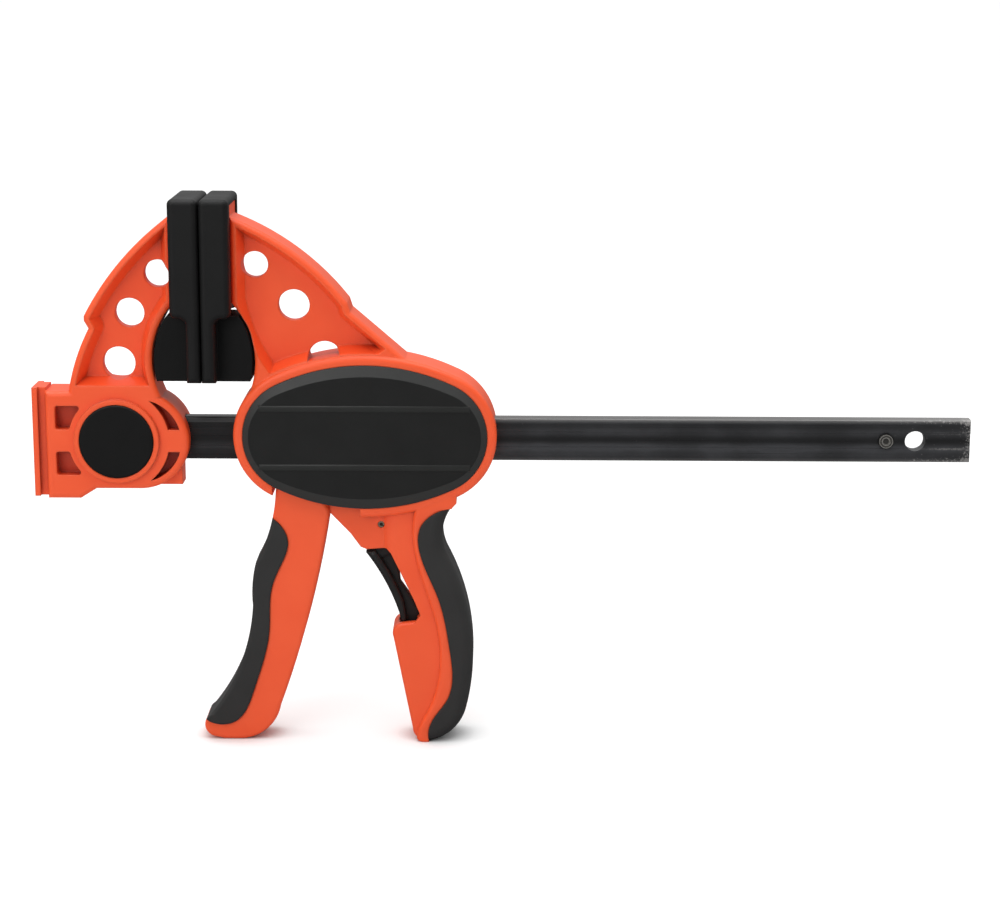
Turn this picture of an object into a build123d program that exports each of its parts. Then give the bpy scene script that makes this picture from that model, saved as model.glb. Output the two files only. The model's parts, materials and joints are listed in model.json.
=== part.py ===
from build123d import *
import os
from math import cos, pi, radians, sin, sqrt, tan

os.makedirs("parts", exist_ok=True)

# Quick release bar clamp, closed, standing on the ends of its two grips.
# Millimetres, +Z up, +X along the bar towards its free end. The origin is the middle of the bottom of its box.
# Every outline is drawn in the jaw frame: x from the plane where the two pads meet, z from the middle of the bar.

# Bar
bar_height = 19.0
bar_thickness = 6.35
bar_length = 397.0
bar_edge_radius = 0.8
flute_height = 7.0
flute_depth = 0.3
bar_hole_radius = 4.45
bar_hole_from_end = 24.1
stop_pin_radius = 3.0
stop_pin_from_end = 37.0
stop_pin_length = 9.0
stop_pin_dimple_radius = 1.6
bar_fit = 0.15

# Overall places
stand_height = 137.0
hub_x = -38.3
throat_top = 106.2

# Jaw mouldings
jaw_depth = 21.0
jaw_flange = 2.7
jaw_web = 5.0
jaw_draft = 20.0
jaw_edge_radius = 2.2
arch_radius = 37.9
arch_centre_x = 15.6
arch_centre_z = 35.2
tongue_depth = 26.0
tongue_back = 12.4
tongue_face = 3.4
tongue_foot = 58.0

# Pads
pad_gap = 0.4
pad_depth = 39.0
pad_cheek_reach = 13.0
pad_plate = 6.2
pad_cheek_foot = 54.9
pad_foot = 27.0
pad_wing_foot = 26.4
pad_wing_depth = 19.0
pad_wing_gap = 1.0
pad_roof = 3.0
pad_fit = 0.2
pad_corner_radius = 3.0
pad_edge_radius = 2.4

# Fixed jaw base
base_left = -69.2
base_half_height = 21.6
base_heel = 26.0
base_round_x = -28.7
rail_left = -75.2
rail_web_depth = 12.0
rail_depth = 16.5
rail_top = 22.9
rail_bottom = -25.3
rail_flange = 2.4
toe_right = -10.8
toe_bottom = -20.5
toe_depth = 10.0
window_depth = 6.2
window_corner_radius = 1.2
window_left = -65.0
window_inner = 4.9
window_outer = 15.4
window_hub_radius = 21.2
crescent_inner_radius = 22.8
crescent_wall = 3.2

# Jaw release button
hub_height = 2.0
hub_radius = 18.5
hub_edge_radius = 0.8
button_radius = 16.1
button_fit = 0.2
button_proud = 0.5
button_thickness = 2.6
button_travel = 4.2
button_floor = 4.0
leg_inner = 10.3
leg_outer = 13.3
leg_width = 10.0
leg_fit = 0.3
carrier_thickness = 2.2
lock_pin_radius = 4.35
lock_pin_bite = 4.0
button_wire = 0.8
button_coils = 2

# Housing
can_x = 69.7
can_z = 2.3
cover_half_length = 53.2
cover_half_height = 31.7
cover_end_radius = 25.3
rim = 4.2
can_depth = 24.0
can_edge_radius = 2.2
cavity_depth = 19.0
cover_ledge = 2.6
cover_fit = 0.1
lever_slot_start = 29.0
rim_start = 67.4
groove_end = 74.0
pivot_web = 6.4
pivot_web_length = 13.5
pivot_web_foot = 12.0
pivot_web_head = 29.0
divider_head = 33.5

# Covers
cover_crown = 1.8
cover_land = 0.3
cover_field_end = 2.6
cover_field_side = 4.6
cover_groove_width = 1.2
cover_groove_depth = 0.5
cover_groove_reach = 45.0
cover_groove_height = 13.0

# Lever
lever_pivot_x = 41.0
lever_pivot_z = 19.6
lever_pin_radius = 3.0
lever_boss_radius = 5.0
lever_depth = 18.0
lever_channel = 13.2
lever_web = 4.5
lever_tip_wall = 5.0
lever_nose_x = 47.6
lever_nose_z = -3.0
lever_nose_radius = 1.5
lever_edge_radius = 1.6
fork_gap = 7.0
fork_foot = -20.0
pin_fit = 0.05
lever_grip_skin = 2.0
lever_grip_proud = 0.8

# Drive plates and their spring
plate_thickness = 2.0
plate_gap = 0.05
plate_width = 16.0
plate_foot = -12.8
plate_head = 18.6
plate_start = 47.9
spring_z = 14.2
spring_radius = 3.4
spring_wire = 0.9
spring_seat = 0.2
drive_coils = 5

# Divider, brake plate and brake spring
divider_left = 65.5
divider_thickness = 3.5
divider_foot = -15.5
fulcrum_x = 74.0
fulcrum_z = -11.5
fulcrum_fit = 0.3
fulcrum_half_height = 1.6
brake_tilt = 8.0
brake_thickness = 3.2
brake_tail = 13.2
brake_head = 30.0
rear_rib_left = 97.0
rear_rib_thickness = 3.5
brake_coils = 9

# Trigger
trigger_pivot_x = 76.3
trigger_pivot_z = -38.0
trigger_pin_radius = 1.5
trigger_boss_radius = 4.6
trigger_body = 7.0
trigger_blade = 12.0
trigger_web = 5.0
trigger_fit = 0.3
trigger_nose_gap = 0.3
trigger_nose_z = -22.5

# Neck and handle
neck_depth = 12.6
neck_front_x = 53.7
panel_depth = 18.6
band_depth = 23.6
panel_edge_radius = 1.6
blend_start = 77.5
blend_end = 84.2
blend_foot = -59.5
panel_front_end = 98.0
panel_front_head = -82.3
band_edge_radius = 2.0
handle_back = 117.0
handle_margin = 20.0
handle_grip_skin = 3.0
handle_grip_proud = 0.8
grip_edge_radius = 5.0
lever_slot_fit = 0.3

# Places that follow from the sizes above
bar_left = hub_x - bar_hole_from_end
bar_right = bar_left + bar_length
datum_x = -(rail_left + bar_right) / 2
datum_z = stand_height
foot_z = -stand_height


def side(y=0.0):
    """Plane across the depth of the clamp: local x along the bar, local y up, outward normal towards -Y."""
    return Plane(origin=(datum_x, y, datum_z), x_dir=(1, 0, 0), z_dir=(0, -1, 0))


def across(x):
    """Plane square to the bar: local x is depth, local y up, normal along the bar."""
    return Plane(origin=(datum_x + x, 0, datum_z), x_dir=(0, 1, 0), z_dir=(1, 0, 0))


def coil_points(plane, turns, length, radius, sides):
    """Corners of a wire bent round the normal of a plane, with so many sides to each turn."""
    corners = []
    for step in range(turns * sides + 1):
        angle = 2 * pi * step / sides
        along = length * step / (turns * sides)
        corners.append(plane.from_local_coords(Vector(radius * cos(angle), radius * sin(angle), along)))
    return corners


# ---------------------------------------------------------------- bar
stop_pin_x = bar_right - stop_pin_from_end

with BuildPart() as bar:
    with BuildSketch(across(bar_left)):
        RectangleRounded(bar_thickness, bar_height, bar_edge_radius)
        with Locations((-bar_thickness / 2, 0), (bar_thickness / 2, 0)):
            Rectangle(2 * flute_depth, flute_height, mode=Mode.SUBTRACT)
    extrude(amount=bar_length)
    with BuildSketch(side()):
        with Locations((hub_x, 0), (bar_right - bar_hole_from_end, 0)):
            Circle(bar_hole_radius)
        with Locations((stop_pin_x, 0)):
            Circle(stop_pin_radius)
    extrude(amount=bar_thickness, both=True, mode=Mode.SUBTRACT)
bar.part.label = "bar"
export_step(bar.part, "parts/bar.step")

with BuildPart() as bar_stop_pin:
    with BuildSketch(side()):
        with Locations((stop_pin_x, 0)):
            Circle(stop_pin_radius)
    extrude(amount=stop_pin_length / 2, both=True)
    with BuildSketch(side(-stop_pin_length / 2), side(stop_pin_length / 2)):
        with Locations((stop_pin_x, 0)):
            Circle(stop_pin_dimple_radius)
    extrude(amount=stop_pin_dimple_radius / 2, both=True, mode=Mode.SUBTRACT)
bar_stop_pin.part.label = "bar_stop_pin"
export_step(bar_stop_pin.part, "parts/bar_stop_pin.step")


# ---------------------------------------------------------------- pads
def arch_reach(z, radius=arch_radius):
    """How far the hollow of either jaw lies from the plane where the pads meet, at height z."""
    return sqrt(radius**2 - (z - arch_centre_z) ** 2) - arch_centre_x


wing_radius = arch_radius - pad_wing_gap
pad_face = pad_gap / 2
pad_seat_half = tongue_depth / 2 + pad_fit

with BuildPart() as moving_jaw_pad:
    with BuildSketch(side()):
        with BuildLine():
            Polyline(
                (pad_face, pad_foot),
                (pad_face, throat_top),
                (pad_cheek_reach, throat_top),
                (pad_cheek_reach, pad_cheek_foot),
                (pad_plate, pad_cheek_foot),
                (pad_plate, pad_foot),
                close=True,
            )
        make_face()
    extrude(amount=pad_depth / 2)
    fillet(moving_jaw_pad.edges().filter_by(Axis.Y).sort_by(Axis.Z)[2:4], pad_corner_radius)
    pad_near_edges = moving_jaw_pad.faces().sort_by(Axis.Y)[0].edges()
    pad_top_edges = moving_jaw_pad.faces().sort_by(Axis.Z)[-1].edges().filter_by(Axis.Y)
    fillet(pad_near_edges + pad_top_edges, pad_edge_radius)
    with BuildSketch(side()):
        with BuildLine():
            Polyline(
                (tongue_face, pad_cheek_foot),
                (tongue_face, throat_top - pad_roof),
                (2 * pad_cheek_reach, throat_top - pad_roof),
                (2 * pad_cheek_reach, pad_cheek_foot),
                close=True,
            )
        make_face()
    extrude(amount=pad_seat_half, mode=Mode.SUBTRACT)
    with BuildSketch(side()):
        with BuildLine():
            wing_head = (arch_reach(pad_cheek_foot, wing_radius), pad_cheek_foot)
            wing_foot = (arch_reach(pad_wing_foot, wing_radius), pad_wing_foot)
            ThreePointArc(wing_head, (arch_reach(arch_centre_z, wing_radius), arch_centre_z), wing_foot)
            Polyline(wing_foot, (pad_face, pad_wing_foot), (pad_face, pad_cheek_foot), wing_head)
        make_face()
    extrude(amount=pad_wing_depth / 2)
    mirror(about=Plane.XZ)
moving_jaw_pad.part.label = "moving_jaw_pad"
export_step(moving_jaw_pad.part, "parts/moving_jaw_pad.step")

with BuildPart() as fixed_jaw_pad:
    mirror(moving_jaw_pad.part, about=across(0), mode=Mode.ADD)
fixed_jaw_pad.part.label = "fixed_jaw_pad"
export_step(fixed_jaw_pad.part, "parts/fixed_jaw_pad.step")

# ---------------------------------------------------------------- fixed jaw
arch_foot_z = 19.3
arch_inside = (-arch_reach(arch_foot_z), arch_foot_z)
arch_middle = (-arch_reach(arch_centre_z), arch_centre_z)
arch_head = (-tongue_back, arch_centre_z + sqrt(arch_radius**2 - (arch_centre_x + tongue_back) ** 2))

with BuildSketch(side()) as fixed_arch:
    with BuildLine():
        ThreePointArc((-58.9, 21.6), (-54.0, 39.2), (-49.4, 49.2))
        Polyline((-49.4, 49.2), (-51.3, 52.6), (-51.3, 54.6))
        ThreePointArc((-51.3, 54.6), (-32.5, 81.2), (-tongue_back, 98.9))
        Line((-tongue_back, 98.9), arch_head)
        ThreePointArc(arch_head, arch_middle, arch_inside)
        Polyline(arch_inside, (-24.0, 14.0), (-58.0, 14.0), (-58.9, 21.6))
    make_face()

with BuildSketch(side()) as fixed_base:
    with BuildLine():
        Polyline(
            (base_round_x, base_half_height),
            (base_left, base_half_height),
            (base_left, -base_heel),
            (base_left + 14.2, -base_heel),
            (base_left + 21.2, -base_half_height),
            (base_round_x, -base_half_height),
        )
        ThreePointArc(
            (base_round_x, -base_half_height),
            (base_round_x + base_half_height, 0),
            (base_round_x, base_half_height),
        )
    make_face()

with BuildSketch(side(-jaw_depth / 2)) as fixed_pocket:
    add(fixed_arch.sketch_local)
    offset(amount=-jaw_flange)
    with Locations((hub_x, base_half_height + jaw_flange + arch_radius)):
        Rectangle(4 * arch_radius, 2 * arch_radius, mode=Mode.INTERSECT)

with BuildSketch(side(-jaw_depth / 2)) as windows:
    for window_side in (-1, 1):
        with Locations(((window_left + hub_x) / 2, window_side * (window_inner + window_outer) / 2)):
            Rectangle(hub_x - window_left, window_outer - window_inner)
    with Locations((hub_x, 0)):
        Circle(window_hub_radius, mode=Mode.SUBTRACT)
    fillet(windows.vertices(), window_corner_radius)

with BuildSketch(side(-jaw_depth / 2)) as crescents:
    with Locations((base_round_x, 0)):
        Circle(base_half_height - crescent_wall)
    with Locations((hub_x, 0)):
        Circle(crescent_inner_radius, mode=Mode.SUBTRACT)
        Rectangle(4 * hub_radius, 2 * window_inner, mode=Mode.SUBTRACT)

fixed_holes = (((-37.6, 33.2), 7.1), ((-32.4, 55.3), 6.4), ((-19.7, 72.5), 6.0))

with BuildPart() as fixed_jaw:
    extrude(fixed_arch.sketch, amount=jaw_depth / 2)
    extrude(fixed_base.sketch, amount=jaw_depth / 2)
    fillet(fixed_jaw.faces().sort_by(Axis.Y)[0].edges(), jaw_edge_radius)
    with BuildSketch(side()):
        with BuildLine():
            Polyline(
                (-tongue_face, tongue_foot),
                (-tongue_face, throat_top - pad_roof),
                (-tongue_back, throat_top - pad_roof),
                (-tongue_back, tongue_foot),
                close=True,
            )
        make_face()
    extrude(amount=tongue_depth / 2)
    with BuildSketch(side()):
        with Locations(((base_left + rail_left + rail_flange) / 2, (rail_top + rail_bottom) / 2)):
            Rectangle(base_left - rail_left - rail_flange, rail_top - rail_bottom)
    extrude(amount=rail_web_depth / 2)
    with BuildSketch(side()):
        with Locations((rail_left + rail_flange / 2, (rail_top + rail_bottom) / 2)):
            Rectangle(rail_flange, rail_top - rail_bottom)
    extrude(amount=rail_depth / 2)
    with BuildSketch(side()):
        with BuildLine():
            Polyline(
                (base_round_x, toe_bottom),
                (toe_right, toe_bottom),
                (toe_right, toe_bottom / 2),
                (base_round_x, toe_bottom / 2),
                close=True,
            )
        make_face()
    extrude(amount=toe_depth / 2)
    extrude(fixed_pocket.sketch, amount=-(jaw_depth - jaw_web) / 2, taper=jaw_draft, mode=Mode.SUBTRACT)
    extrude(windows.sketch, amount=-window_depth, mode=Mode.SUBTRACT)
    extrude(crescents.sketch, amount=-window_depth, mode=Mode.SUBTRACT)
    with BuildSketch(side()):
        with Locations((hub_x, 0)):
            Circle(hub_radius)
    extrude(amount=jaw_depth / 2 + hub_height)
    fillet(fixed_jaw.faces().sort_by(Axis.Y)[0].edges(), hub_edge_radius)
    mirror(about=Plane.XZ)
    with BuildSketch(side()):
        for hole_place, hole_radius in fixed_holes:
            with Locations(hole_place):
                Circle(hole_radius)
    extrude(amount=jaw_depth, both=True, mode=Mode.SUBTRACT)
    with BuildSketch(across(bar_left)):
        Rectangle(bar_thickness + 2 * bar_fit, bar_height + 2 * bar_fit)
    extrude(amount=2 * bar_hole_from_end + 2 * base_half_height, mode=Mode.SUBTRACT)
    with BuildSketch(side(-button_floor)):
        with Locations((hub_x, 0)):
            Circle(button_radius + button_fit)
    extrude(amount=jaw_depth, mode=Mode.SUBTRACT)
    with BuildSketch(side(button_floor)):
        with Locations((hub_x, 0)):
            Circle(button_radius + button_fit)
    extrude(amount=-jaw_depth, mode=Mode.SUBTRACT)
    with BuildSketch(side()):
        for leg_side in (-1, 1):
            with Locations((hub_x, leg_side * (leg_inner + leg_outer) / 2)):
                Rectangle(leg_width + 2 * leg_fit, leg_outer - leg_inner + 2 * leg_fit)
    extrude(amount=2 * button_floor, both=True, mode=Mode.SUBTRACT)
    with BuildSketch(side()):
        with Locations((hub_x, 0)):
            Circle(bar_hole_radius)
    extrude(amount=2 * button_floor, both=True, mode=Mode.SUBTRACT)
fixed_jaw.part.label = "fixed_jaw"
export_step(fixed_jaw.part, "parts/fixed_jaw.step")

# ---------------------------------------------------------------- jaw release button
button_face_y = -(jaw_depth / 2 + hub_height + button_proud)
button_back_y = button_face_y + button_thickness
carrier_y = button_floor + bar_fit
carrier_back_y = carrier_y + carrier_thickness
back_cap_y = carrier_back_y + button_travel + bar_fit

with BuildPart() as jaw_release_button:
    with BuildSketch(side(button_back_y)):
        with Locations((hub_x, 0)):
            Circle(button_radius)
    extrude(amount=button_thickness)
    fillet(jaw_release_button.faces().sort_by(Axis.Y)[0].edges(), button_proud)
    with BuildSketch(side(carrier_back_y)):
        with Locations((hub_x, 0)):
            Circle(button_radius)
            Circle(lock_pin_radius, mode=Mode.SUBTRACT)
    extrude(amount=carrier_thickness)
    with BuildSketch(side(carrier_y)):
        for leg_side in (-1, 1):
            with Locations((hub_x, leg_side * (leg_inner + leg_outer) / 2)):
                Rectangle(leg_width, leg_outer - leg_inner)
    extrude(amount=carrier_y - button_back_y)
jaw_release_button.part.label = "jaw_release_button"
export_step(jaw_release_button.part, "parts/jaw_release_button.step")

with BuildPart() as jaw_lock_pin:
    with BuildSketch(side(carrier_back_y)):
        with Locations((hub_x, 0)):
            Circle(lock_pin_radius)
    extrude(amount=carrier_back_y - bar_thickness / 2 + lock_pin_bite)
    chamfer(jaw_lock_pin.faces().sort_by(Axis.Y)[0].edges(), lock_pin_bite / 6)
jaw_lock_pin.part.label = "jaw_lock_pin"
export_step(jaw_lock_pin.part, "parts/jaw_lock_pin.step")

with BuildPart() as hub_back_cap:
    with BuildSketch(side(back_cap_y)):
        with Locations((hub_x, 0)):
            Circle(button_radius + button_fit)
    extrude(amount=back_cap_y - jaw_depth / 2 - hub_height)
hub_back_cap.part.label = "hub_back_cap"
export_step(hub_back_cap.part, "parts/hub_back_cap.step")

button_spring_radius = button_radius - button_wire - button_fit
button_spring_start = button_back_y + button_wire / 2
button_spring_length = -button_floor - button_wire / 2 - button_spring_start
button_spring_seat = Plane(origin=(datum_x + hub_x, button_spring_start, datum_z), z_dir=(0, 1, 0))
with BuildPart() as button_spring:
    with BuildLine() as button_coil:
        Polyline(*coil_points(button_spring_seat, button_coils, button_spring_length, button_spring_radius, 20))
    with BuildSketch(Plane(origin=button_coil.line @ 0, z_dir=button_coil.line % 0)):
        RegularPolygon(button_wire / 2, 6)
    sweep(path=button_coil.line, transition=Transition.RIGHT)
button_spring.part.label = "button_spring"
export_step(button_spring.part, "parts/button_spring.step")


# ---------------------------------------------------------------- housing
def oval(grow, side_grow=None):
    """The outline of the covers made larger all round by grow: two end arcs and two long flank arcs."""
    if side_grow is None:
        side_grow = grow
    half_length = cover_half_length + grow
    half_height = cover_half_height + side_grow
    end_radius = cover_end_radius + side_grow
    reach = half_length - end_radius
    flank = (half_height**2 - end_radius**2 + reach**2) / (2 * (half_height - end_radius))
    meet_x = reach + end_radius * reach / (flank - end_radius)
    meet_z = end_radius * (flank - half_height) / (flank - end_radius)
    with BuildSketch() as shape:
        with BuildLine():
            ThreePointArc((-meet_x, meet_z), (0, half_height), (meet_x, meet_z))
            ThreePointArc((meet_x, meet_z), (half_length, 0), (meet_x, -meet_z))
            ThreePointArc((meet_x, -meet_z), (0, -half_height), (-meet_x, -meet_z))
            ThreePointArc((-meet_x, -meet_z), (-half_length, 0), (-meet_x, meet_z))
        make_face()
    return Pos(can_x, can_z) * shape.sketch


moving_holes = (((22.3, 76.6), 5.7), ((38.9, 59.0), 6.8), ((52.1, 36.1), 7.1))

with BuildSketch(side()) as moving_arch:
    with BuildLine():
        ThreePointArc((tongue_back, 97.9), (38.0, 84.3), (62.5, 61.0))
        Polyline(
            (62.5, 61.0),
            (63.8, 57.0),
            (88.7, 35.6),
            (97.5, 31.2),
            (97.5, 14.0),
            (24.0, 14.0),
            (-arch_inside[0], arch_foot_z),
        )
        ThreePointArc(
            (-arch_inside[0], arch_foot_z),
            (-arch_middle[0], arch_centre_z),
            (tongue_back, arch_head[1]),
        )
        Line((tongue_back, arch_head[1]), (tongue_back, 97.9))
    make_face()

with BuildSketch(side(-jaw_depth / 2)) as moving_pocket:
    with BuildLine():
        ThreePointArc((15.1, 93.9), (38.0, 81.0), (60.1, 59.7))
        Polyline((60.1, 59.7), (61.3, 55.8), (79.0, 41.0), (76.0, 38.6))
        ThreePointArc((76.0, 38.6), (55.0, 37.8), (28.7, 29.7))
        ThreePointArc((28.7, 29.7), (25.0, arch_centre_z), (15.1, 61.8))
        Line((15.1, 61.8), (15.1, 93.9))
    make_face()

# The grip and its neck, seen from the side
with BuildSketch(side()) as handle_outline:
    with BuildLine():
        ThreePointArc((109.6, -27.0), (103.4, -42.3), (106.0, -51.8))
        ThreePointArc((106.0, -51.8), (handle_back, -97.2), (113.9, foot_z + 15.2))
        ThreePointArc((113.9, foot_z + 15.2), (107.5, foot_z + 4.6), (98.5, foot_z))
        Line((98.5, foot_z), (94.5, foot_z))
        ThreePointArc((94.5, foot_z), (91.2, foot_z + 2.0), (90.0, foot_z + 5.5))
        Line((90.0, foot_z + 5.5), (81.5, -89.0))
        ThreePointArc((81.5, -89.0), (82.1, -84.4), (85.6, -82.5))
        Polyline(
            (85.6, -82.5),
            (91.5, -81.8),
            (93.6, -78.8),
            (91.0, -72.4),
            (84.7, -58.8),
            (80.6, -50.6),
            (78.6, -48.6),
            (69.8, -49.3),
            (67.2, -48.2),
            (62.8, -42.1),
            (neck_front_x, -32.6),
            (neck_front_x, -27.0),
            (109.6, -22.0),
            (109.6, -27.0),
        )
    make_face()

# Far enough behind and below the grip for the lines that divide its areas to end outside it
clear_x = handle_back + handle_margin
clear_z = foot_z - handle_margin

with BuildSketch(side()) as handle_panel:
    add(handle_outline.sketch_local)
    with BuildLine():
        Polyline((blend_start, -20.0), (blend_start, clear_z), (clear_x, clear_z), (clear_x, -20.0), close=True)
    make_face(mode=Mode.INTERSECT)

with BuildSketch(side()) as handle_band:
    add(handle_outline.sketch_local)
    with BuildLine():
        Spline(
            (94.5, -22.0),
            (90.1, -39.2),
            (93.5, -59.7),
            (100.5, -82.6),
            (101.4, foot_z + 28.9),
            (96.5, foot_z + 13.9),
            (93.3, foot_z + 7.8),
            (92.6, foot_z - 3.0),
        )
        Polyline((92.6, foot_z - 3.0), (92.6, clear_z), (clear_x, clear_z), (clear_x, -22.0), (94.5, -22.0))
    make_face(mode=Mode.INTERSECT)

with BuildSketch(side()) as handle_grip_area:
    add(handle_outline.sketch_local)
    with BuildLine():
        Spline(
            (112.0, -30.2),
            (98.8, -32.4),
            (94.0, -37.5),
            (94.4, -52.6),
            (101.4, -69.7),
            (106.5, -93.0),
            (105.4, foot_z + 19.6),
            (98.6, foot_z + 9.6),
            (97.6, foot_z - 1.0),
        )
        Polyline((97.6, foot_z - 1.0), (97.6, clear_z), (clear_x, clear_z), (clear_x, -30.2), (112.0, -30.2))
    make_face(mode=Mode.INTERSECT)

with BuildSketch(side()) as handle_core:
    add(handle_outline.sketch_local)
    offset(amount=-handle_grip_skin)
    add(handle_grip_area.sketch_local, mode=Mode.INTERSECT)

# One half of the moulded grip: soft edges to its front, a fairing into the neck and a raised band behind
with BuildPart() as grip_body:
    extrude(handle_panel.sketch, amount=panel_depth / 2)
    # The face falls away in an easy curve to the thinner neck
    with BuildSketch(Plane.XY.offset(datum_z + blend_foot)):
        with BuildLine():
            neck_corner = (datum_x + blend_start, -neck_depth / 2)
            face_corner = (datum_x + blend_end, -panel_depth / 2)
            TangentArc(face_corner, neck_corner, tangent=(-1, 0))
            Polyline(neck_corner, (datum_x + blend_start, -panel_depth), (datum_x + blend_end, -panel_depth), face_corner)
        make_face()
    extrude(amount=stand_height, mode=Mode.SUBTRACT)
    panel_edges = grip_body.faces().sort_by(Axis.Y)[0].edges()
    panel_front = panel_edges.filter_by_position(Axis.X, datum_x, datum_x + panel_front_end)
    fillet(panel_front.filter_by_position(Axis.Z, 0, datum_z + panel_front_head), panel_edge_radius)
    extrude(handle_band.sketch, amount=band_depth / 2)
    band_edges = grip_body.faces().sort_by(Axis.Y)[0].edges()
    fillet(band_edges.filter_by(GeomType.BSPLINE), band_edge_radius)

pivot = (lever_pivot_x, lever_pivot_z)
trigger_pivot = (trigger_pivot_x, trigger_pivot_z)
slot_low = can_z - cover_half_height - 4 * rim
slot_half = lever_depth / 2 + lever_slot_fit

with BuildPart() as housing:
    extrude(moving_arch.sketch, amount=jaw_depth / 2)
    fillet(housing.faces().sort_by(Axis.Y)[0].edges(), jaw_edge_radius)
    with BuildSketch(side()):
        add(oval(rim))
    extrude(amount=can_depth / 2)
    fillet(housing.faces().sort_by(Axis.Y)[0].edges(), can_edge_radius)
    extrude(moving_pocket.sketch, amount=-(jaw_depth - jaw_web) / 2, taper=jaw_draft, mode=Mode.SUBTRACT)
    with BuildSketch(side()):
        with Locations(((tongue_face + tongue_back) / 2, (tongue_foot + throat_top - pad_roof) / 2)):
            Rectangle(tongue_back - tongue_face, throat_top - pad_roof - tongue_foot)
    extrude(amount=tongue_depth / 2)
    extrude(handle_outline.sketch, amount=neck_depth / 2)
    add(grip_body.part)
    extrude(handle_grip_area.sketch, amount=band_depth, mode=Mode.SUBTRACT)
    extrude(handle_core.sketch, amount=band_depth / 2 + handle_grip_proud - handle_grip_skin)
    with BuildSketch(side()):
        add(oval(-cover_ledge))
    extrude(amount=cavity_depth / 2, mode=Mode.SUBTRACT)
    with BuildSketch(side(-cavity_depth / 2)):
        add(oval(cover_fit))
    extrude(amount=can_depth, mode=Mode.SUBTRACT)
    # The lever swings through the underside, its two walls passing outside the neck
    with BuildSketch(side()):
        with Locations(((lever_slot_start + neck_front_x) / 2, slot_low / 2)):
            Rectangle(neck_front_x - lever_slot_start, -slot_low / 2)
    extrude(amount=can_depth, mode=Mode.SUBTRACT)
    with BuildSketch(side(-neck_depth / 2)):
        with Locations(((neck_front_x + rim_start) / 2, 3 * slot_low / 4)):
            Rectangle(rim_start - neck_front_x, -slot_low / 2)
    extrude(amount=can_depth, mode=Mode.SUBTRACT)
    with BuildSketch(side(-neck_depth / 2)):
        with Locations(((rim_start + groove_end) / 2, 3 * slot_low / 4)):
            Rectangle(groove_end - rim_start, -slot_low / 2)
    extrude(amount=slot_half - neck_depth / 2, mode=Mode.SUBTRACT)
    mirror(about=Plane.XZ)
    # Ribs inside: the web that carries the lever pin, the divider with its fulcrum, and the rear rib
    with BuildSketch(side()):
        with Locations((lever_pivot_x, (pivot_web_foot + pivot_web_head) / 2)):
            Rectangle(pivot_web_length, pivot_web_head - pivot_web_foot)
    extrude(amount=pivot_web / 2, both=True)
    with BuildSketch(side()):
        with Locations((divider_left + divider_thickness / 2, (divider_foot + divider_head) / 2)):
            Rectangle(divider_thickness, divider_head - divider_foot)
        with Locations(((divider_left + fulcrum_x - fulcrum_fit) / 2, fulcrum_z)):
            Rectangle(fulcrum_x - fulcrum_fit - divider_left, 2 * fulcrum_half_height)
        with Locations((rear_rib_left + rear_rib_thickness / 2, can_z)):
            Rectangle(rear_rib_thickness, 2 * cover_end_radius)
    extrude(amount=cavity_depth / 2, both=True)
    with BuildSketch(side()):
        for hole_place, hole_radius in moving_holes:
            with Locations(hole_place):
                Circle(hole_radius)
        add(oval(rim + button_proud), mode=Mode.SUBTRACT)
    extrude(amount=jaw_depth, both=True, mode=Mode.SUBTRACT)
    with BuildSketch(side()):
        with Locations(pivot):
            Circle(lever_pin_radius)
        with Locations(trigger_pivot):
            Circle(trigger_pin_radius)
    extrude(amount=cavity_depth / 2, both=True, mode=Mode.SUBTRACT)
    with BuildSketch(across(can_x - 2 * cover_half_length)):
        Rectangle(bar_thickness + 2 * bar_fit, bar_height + 2 * bar_fit)
    extrude(amount=4 * cover_half_length, mode=Mode.SUBTRACT)
    # Slots for the trigger: its body in the neck, its blade and web in the top of the grip
    with BuildSketch(side()):
        with BuildLine():
            Polyline(
                (67.0, -52.0),
                (67.0, -44.0),
                (71.0, -38.0),
                (71.0, -22.0),
                (84.0, -22.0),
                (84.0, -52.0),
                close=True,
            )
        make_face()
    extrude(amount=trigger_body / 2 + trigger_fit, both=True, mode=Mode.SUBTRACT)
    with BuildSketch(side()):
        with BuildLine():
            Polyline((83.5, -78.0), (92.0, -78.0), (92.0, -88.0), (85.2, -88.0), close=True)
        make_face()
    extrude(amount=trigger_blade / 2 + trigger_fit, both=True, mode=Mode.SUBTRACT)
    with BuildSketch(side()):
        with BuildLine():
            Polyline(
                (81.5, -50.0),
                (88.5, -61.2),
                (99.0, -74.0),
                (99.0, -88.0),
                (85.2, -88.0),
                (78.0, -60.0),
                close=True,
            )
        make_face()
    extrude(amount=trigger_web / 2 + trigger_fit, both=True, mode=Mode.SUBTRACT)
housing.part.label = "housing"
export_step(housing.part, "parts/housing.step")

# ---------------------------------------------------------------- covers
cover_seat_y = -cavity_depth / 2
cover_edge_y = -can_depth / 2 - cover_land

with BuildPart() as front_cover:
    with BuildSketch(side(cover_seat_y)):
        add(oval(0))
    extrude(amount=cover_seat_y - cover_edge_y)
    with BuildSketch(side(cover_edge_y)):
        add(oval(0))
    with BuildSketch(side(cover_edge_y - cover_crown)):
        add(oval(-cover_field_end, -cover_field_side))
    loft()
    with BuildSketch(side(cover_edge_y - cover_crown)):
        for groove_side in (-1, 1):
            with Locations((can_x, can_z + groove_side * cover_groove_height)):
                Rectangle(2 * cover_groove_reach, cover_groove_width)
    extrude(amount=-cover_groove_depth, mode=Mode.SUBTRACT)
front_cover.part.label = "front_cover"
export_step(front_cover.part, "parts/front_cover.step")

with BuildPart() as rear_cover:
    mirror(front_cover.part, about=Plane.XZ)
rear_cover.part.label = "rear_cover"
export_step(rear_cover.part, "parts/rear_cover.step")

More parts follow.
